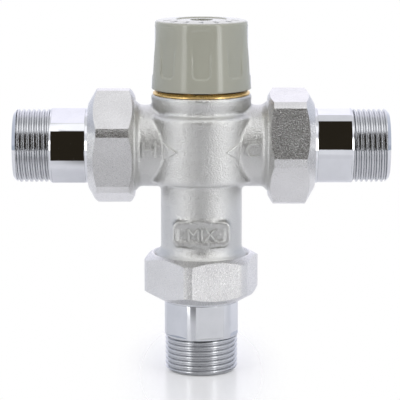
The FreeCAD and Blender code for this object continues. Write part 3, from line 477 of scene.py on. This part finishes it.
def layOn(bm, surface, place, proud, sunk):
    # the mark lies in its own XY plane: it is cut into a grid and each point is laid on the surface below it
    for axis in (Vector((1, 0, 0)), Vector((0, 1, 0))):
        reaches = [vert.co.dot(axis) for vert in bm.verts]
        cut = min(reaches) + marks["grid"]
        while cut < max(reaches):
            bmesh.ops.bisect_plane(bm, geom=wholeMesh(bm), dist=gaps["weld"],
                                   plane_co=axis * cut, plane_no=axis)
            cut += marks["grid"]
    bmesh.ops.recalc_face_normals(bm, faces=bm.faces)
    outward = place.to_3x3() @ Vector((0, 0, 1))
    low = min(vert.co.z for vert in bm.verts)
    high = max(vert.co.z for vert in bm.verts)
    for vert in bm.verts:
        height = -sunk + (proud + sunk) * (vert.co.z - low) / (high - low)
        above = place @ Vector((vert.co.x, vert.co.y, 0)) + outward
        vert.co = surface.ray_cast(above, -outward)[0] + outward * height


def addShape(bm, shape):
    mesh = bpy.data.meshes.new("shape")
    shape.to_mesh(mesh)
    shape.free()
    bm.from_mesh(mesh)
    bpy.data.meshes.remove(mesh)


def makeBody():
    bm = softSkin("valve_body", cast["voxel"], cast["passes"])
    smooth(bm, [vert for vert in bm.verts if inNeck(vert.co)], cast["neckPasses"])
    tightenFlare(bm)
    surface = BVHTree.FromBMesh(bm)
    upright = Matrix.Rotation(math.pi / 2, 4, "X")
    shapes = [(letterShape(letters, size, cast["round"]), across, up)
              for letters, across, up, size in cast["letters"]]
    shapes += [(arrowShape(side), 0, 0) for side in (-1, 1)]
    for shape, across, up in shapes:
        place = Matrix.Translation((across, 0, portHeight + up)) @ upright
        layOn(shape, surface, place, cast["raise"], cast["sink"])
        addShape(bm, shape)
    piece = finishPiece(bm, "cast_body", "valve", "body_chrome", cast["sharpAngle"])
    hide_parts("valve_body")
    return piece


print("body cast:", countTriangles(makeBody()), "triangles")


# knob: the CAD knob softened as a moulding, with plain numbers on its top
dial = {
    "voxel": 0.00031, "passes": 3, "sharpAngle": 60,
    "side": (0.0180, 0.01665), "rim": 0.0006, "shell": 0.0016,
    "flutes": 8, "fluteStart": 0.0046, "fluteStop": 0.0016, "fluteBelow": 0.001, "fluteAbove": 0.0002,
    "half": (0.0036, 0.0059), "wall": (0.0007, 0.0040), "depth": (0.00060, 0.00014), "openFrom": 0.3,
    "corner": 0.0022, "topWall": 0.0010, "arch": 40.0,
    "recessRadius": 0.0093, "recess": 0.0004, "recessLimit": 0.0012,
    "numbers": 7, "size": 0.0042, "radius": 0.0130, "step": 24, "numberAngle": 35,
    "round": 0.00006, "proud": 0.00004, "sunk": 0.00004,
}


def ease(share):
    share = min(1, max(0, share))
    return share * share * (3 - 2 * share)


def between(ends, share):
    return ends[0] + (ends[1] - ends[0]) * share


def fluteDepth(across, up, tall):
    # a finger flute: a steep narrow trough below that opens into a wide shallow one above
    opened = ease((up / tall - dial["openFrom"]) / (1 - dial["openFrom"]))
    corner = dial["corner"]
    beside = between(dial["half"], opened) - abs(across)
    inside = min(beside, up)
    if up < corner:
        inside = min(inside, corner - math.hypot(max(0, corner - beside), corner - up))
    roof = tall - dial["arch"] * across * across - up
    depth = between(dial["depth"], opened)
    return depth * ease(inside / between(dial["wall"], opened)) * ease(roof / dial["topWall"])


def cutFlutes(bm, low, high):
    pitch = math.tau / dial["flutes"]
    base = low + dial["fluteStart"]
    tall = high - dial["rim"] - dial["fluteStop"] - base
    for vert in bm.verts:
        side = between(dial["side"], (vert.co.z - low) / (high - dial["rim"] - low))
        radius = vert.co.xy.length
        up = vert.co.z - base
        if -dial["fluteBelow"] < up < tall + dial["fluteAbove"] and radius > side - dial["shell"]:
            bearing = math.atan2(vert.co.x, -vert.co.y)
            across = (bearing - round(bearing / pitch) * pitch) * side
            vert.co.xy *= (side - fluteDepth(across, up, tall)) / radius


def liftRecess(bm, high):
    # the recess in the top is shallower than in CAD
    for vert in bm.verts:
        deep = high - vert.co.z
        if vert.co.xy.length < dial["recessRadius"] and dial["recess"] < deep < dial["recessLimit"]:
            vert.co.z = high - dial["recess"]


def makeKnob():
    bm = softSkin("temperature_knob", dial["voxel"], dial["passes"])
    low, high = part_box("temperature_knob")
    cutFlutes(bm, low.z, high.z)
    liftRecess(bm, high.z)
    surface = BVHTree.FromBMesh(bm)
    piece = finishPiece(bm, "moulded_knob", "control", "knob_plastic", dial["sharpAngle"])
    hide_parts("temperature_knob")
    print("knob moulded:", countTriangles(piece), "triangles")
    return surface, max(corner[2] for corner in piece.bound_box)


def makeNumbers(surface, top):
    bm = bmesh.new()
    for index in range(dial["numbers"]):
        turn = math.radians((index - (dial["numbers"] - 1) / 2) * dial["step"])
        shape = letterShape(str(index + 1), dial["size"], dial["round"])
        place = Matrix.Rotation(turn, 4, "Z") @ Matrix.Translation((0, -dial["radius"], top))
        layOn(shape, surface, place, dial["proud"], dial["sunk"])
        addShape(bm, shape)
    piece = finishPiece(bm, "dial_numbers", "control", "grey_plastic", dial["numberAngle"])
    print("numbers laid on the knob:", countTriangles(piece), "triangles")


makeNumbers(*makeKnob())


# camera
camera = {"lens": 183.0, "sensor": 36.0, "target": (-0.0005, 0, 0.0629), "distance": 0.740, "pitch": 10.0}


def placeCamera():
    lens = bpy.data.cameras.new("photoCamera")
    lens.lens = camera["lens"]
    lens.sensor_width = camera["sensor"]
    holder = bpy.data.objects.new("photoCamera", lens)
    bpy.context.scene.collection.objects.link(holder)
    pitch = math.radians(camera["pitch"])
    back = Vector((0, -math.cos(pitch), math.sin(pitch)))
    holder.location = Vector(camera["target"]) + back * camera["distance"]
    holder.rotation_euler = (math.pi / 2 - pitch, 0, 0)
    bpy.context.scene.camera = holder


placeCamera()

# studio, in degrees: across is the bearing from the front, upward is the height above the horizon,
# over is the angle from the front up and over to the back
studio = {
    "overSpan": (-90, 270),
    "overStops": [(-90, (0.80, 0.81, 0.84)), (-10, (0.82, 0.83, 0.86)), (47, (0.95, 0.95, 1.0)),
                  (57, (1.45, 1.45, 1.5)), (76, (1.42, 1.42, 1.46)), (84, (0.87, 0.88, 0.91)),
                  (114, (0.9, 0.9, 0.95)), (126, (1.3, 1.28, 1.42)), (172, (1.3, 1.29, 1.42)),
                  (200, (0.62, 0.66, 0.75))],
    "side": (0.50, 0.56, 0.67), "sideSpan": (0, 180), "sideUpward": (-90, 35), "sideSoft": (1.0, 12.0),
    "sideStops": [(0, 0.0), (60, 0.0), (100, 0.85), (150, 0.6), (180, 0.0)],
    "dark": (0.026, 0.021, 0.014), "darkAcross": (-34, 36), "darkUpward": (-40, 50), "darkSoft": (2.0, 7.0),
    "strips": [((39.5, 50.5), (-40, 62), 4.3), ((-47, -36), (-40, 62), 2.9),
               ((22, 33), (6, 21), 0.9), ((-48, -36), (9, 19), 5.0)],
    "soft": (2.0, 2.0), "backdrop": (1.0, 1.0, 1.0),
}


def softBetween(tree, angle, span, soft):
    ends = [[math.radians(end - blur), math.radians(end + blur)] for end, blur in zip(span, soft)]
    rise = rangeNode(tree, angle, *ends[0], kind="SMOOTHSTEP")
    fall = rangeNode(tree, angle, *ends[1], 1.0, 0.0, kind="SMOOTHSTEP")
    return mathNode(tree, "MULTIPLY", rise, fall)


def colourStops(tree, angle, stops, span):
    low, high = span
    ramp = tree.nodes.new("ShaderNodeValToRGB")
    tree.links.new(rangeNode(tree, angle, math.radians(low), math.radians(high)), ramp.inputs["Fac"])
    elements = ramp.color_ramp.elements
    while len(elements) < len(stops):
        elements.new(0.5)
    for element, (stop, colour) in zip(elements, stops):
        element.position = (stop - low) / (high - low)
        element.color = (*colour, 1) if isinstance(colour, tuple) else (colour, colour, colour, 1)
    return ramp.outputs["Color"]


def makeStudio():
    world = bpy.data.worlds.new("studio")
    bpy.context.scene.world = world
    world.use_nodes = True
    tree = world.node_tree
    parts = tree.nodes.new("ShaderNodeSeparateXYZ")
    tree.links.new(tree.nodes.new("ShaderNodeTexCoord").outputs["Generated"], parts.inputs["Vector"])
    ahead = mathNode(tree, "MULTIPLY", parts.outputs["Y"], -1.0)
    across = mathNode(tree, "ARCTAN2", parts.outputs["X"], ahead)
    upward = mathNode(tree, "ARCSINE", parts.outputs["Z"])
    over = mathNode(tree, "ARCTAN2", parts.outputs["Z"], ahead)
    under = mathNode(tree, "LESS_THAN", over, math.radians(studio["overSpan"][0]))
    over = mathNode(tree, "ADD", over, mathNode(tree, "MULTIPLY", under, math.tau))
    colour = colourStops(tree, over, studio["overStops"], studio["overSpan"])
    turned = mathNode(tree, "ABSOLUTE", across)
    aside = colourStops(tree, turned, studio["sideStops"], studio["sideSpan"])
    low = softBetween(tree, upward, studio["sideUpward"], studio["sideSoft"])
    colour = mixColour(tree, mathNode(tree, "MULTIPLY", aside, low), colour, studio["side"])
    dark = mathNode(tree, "MULTIPLY", softBetween(tree, across, studio["darkAcross"], studio["soft"]),
                    softBetween(tree, upward, studio["darkUpward"], studio["darkSoft"]))
    colour = mixColour(tree, dark, colour, studio["dark"])
    for span, rise, strength in studio["strips"]:
        strip = mathNode(tree, "MULTIPLY", softBetween(tree, across, span, studio["soft"]),
                         softBetween(tree, upward, rise, studio["soft"]))
        colour = mixColour(tree, strip, colour, (strength, strength, strength))
    seen = tree.nodes.new("ShaderNodeLightPath").outputs["Is Camera Ray"]
    colour = mixColour(tree, seen, colour, studio["backdrop"])
    tree.links.new(colour, tree.nodes["Background"].inputs["Color"])


makeStudio()

# floor: near and far are the distances between which its colour and gloss change; inside near its colour is
# painted darker, as painted shade round the part
floor = {
    "radius": 0.65, "drop": 0.0001, "segments": 96,
    "near": 0.16, "far": 0.28, "nearShadeColour": (0.86, 0.86, 0.87), "farColour": (0.93, 0.93, 0.93),
    "gloss": 0.5, "polish": (0.05, 0.08), "roughness": (0.2, 0.04),
    "paintedShadow": (-0.025, -0.13, 0), "paintedShadowEdge": 0.09, "paintedShadowCore": 0.03, "patchShade": (0.44, 0.44, 0.44),
    "reach": (0.034, 0.11, 1), "fadeStart": 0.35, "fadeEnd": 1.0, "lift": 0.3,
}


def floorFinish():
    finish, tree, shader = newFinish("paleFloor")
    vector = {"kind": "ShaderNodeVectorMath"}
    place = objectPlace(tree)
    away = mathNode(tree, "LENGTH", place, **vector)
    roughness = rangeNode(tree, away, *floor["polish"], *floor["roughness"])
    outer = rangeNode(tree, away, floor["near"], floor["far"], kind="SMOOTHSTEP")
    # painted shade: the floor's colour is darker near the part and paler past far
    colour = mixColour(tree, outer, floor["nearShadeColour"], floor["farColour"])
    # painted shadow: a grey spot on the floor in front of the part, where its shade falls
    beside = mathNode(tree, "DISTANCE", place, floor["paintedShadow"], **vector)
    paintedShadow = rangeNode(tree, beside, floor["paintedShadowEdge"], floor["paintedShadowCore"], kind="SMOOTHSTEP")
    colour = mixColour(tree, paintedShadow, colour, floor["patchShade"])
    gloss = mathNode(tree, "MULTIPLY", mathNode(tree, "SUBTRACT", 1.0, outer), floor["gloss"])
    tree.links.new(colour, shader.inputs["Base Color"])
    tree.links.new(roughness, shader.inputs["Roughness"])
    tree.links.new(gloss, shader.inputs["Specular IOR Level"])
    # the camera sees the floor round the part's foot, and the white backdrop past it
    nearness = mathNode(tree, "DIVIDE", place, floor["reach"], **vector, output="Vector")
    distance = mathNode(tree, "LENGTH", nearness, **vector)
    fade = rangeNode(tree, distance, floor["fadeStart"], floor["fadeEnd"], floor["lift"], kind="SMOOTHSTEP")
    seen = tree.nodes.new("ShaderNodeLightPath").outputs["Is Camera Ray"]
    clear = tree.nodes.new("ShaderNodeBsdfTransparent")
    mixed = tree.nodes.new("ShaderNodeMixShader")
    tree.links.new(mathNode(tree, "MULTIPLY", seen, fade), mixed.inputs["Fac"])
    tree.links.new(shader.outputs["BSDF"], mixed.inputs[1])
    tree.links.new(clear.outputs["BSDF"], mixed.inputs[2])
    tree.links.new(mixed.outputs["Shader"], tree.nodes["Material Output"].inputs["Surface"])
    return finish


def makeFloor():
    bm = bmesh.new()
    bmesh.ops.create_circle(bm, cap_ends=True, segments=floor["segments"], radius=floor["radius"])
    bmesh.ops.translate(bm, vec=(0, 0, -floor["drop"]), verts=bm.verts)
    mesh = bpy.data.meshes.new("floor")
    bm.to_mesh(mesh)
    bm.free()
    mesh.materials.append(floorFinish())
    plane = bpy.data.objects.new("floor", mesh)
    bpy.context.scene.collection.objects.link(plane)


makeFloor()
bpy.context.scene.view_settings.view_transform = "Standard"
print("studio, floor and camera placed")
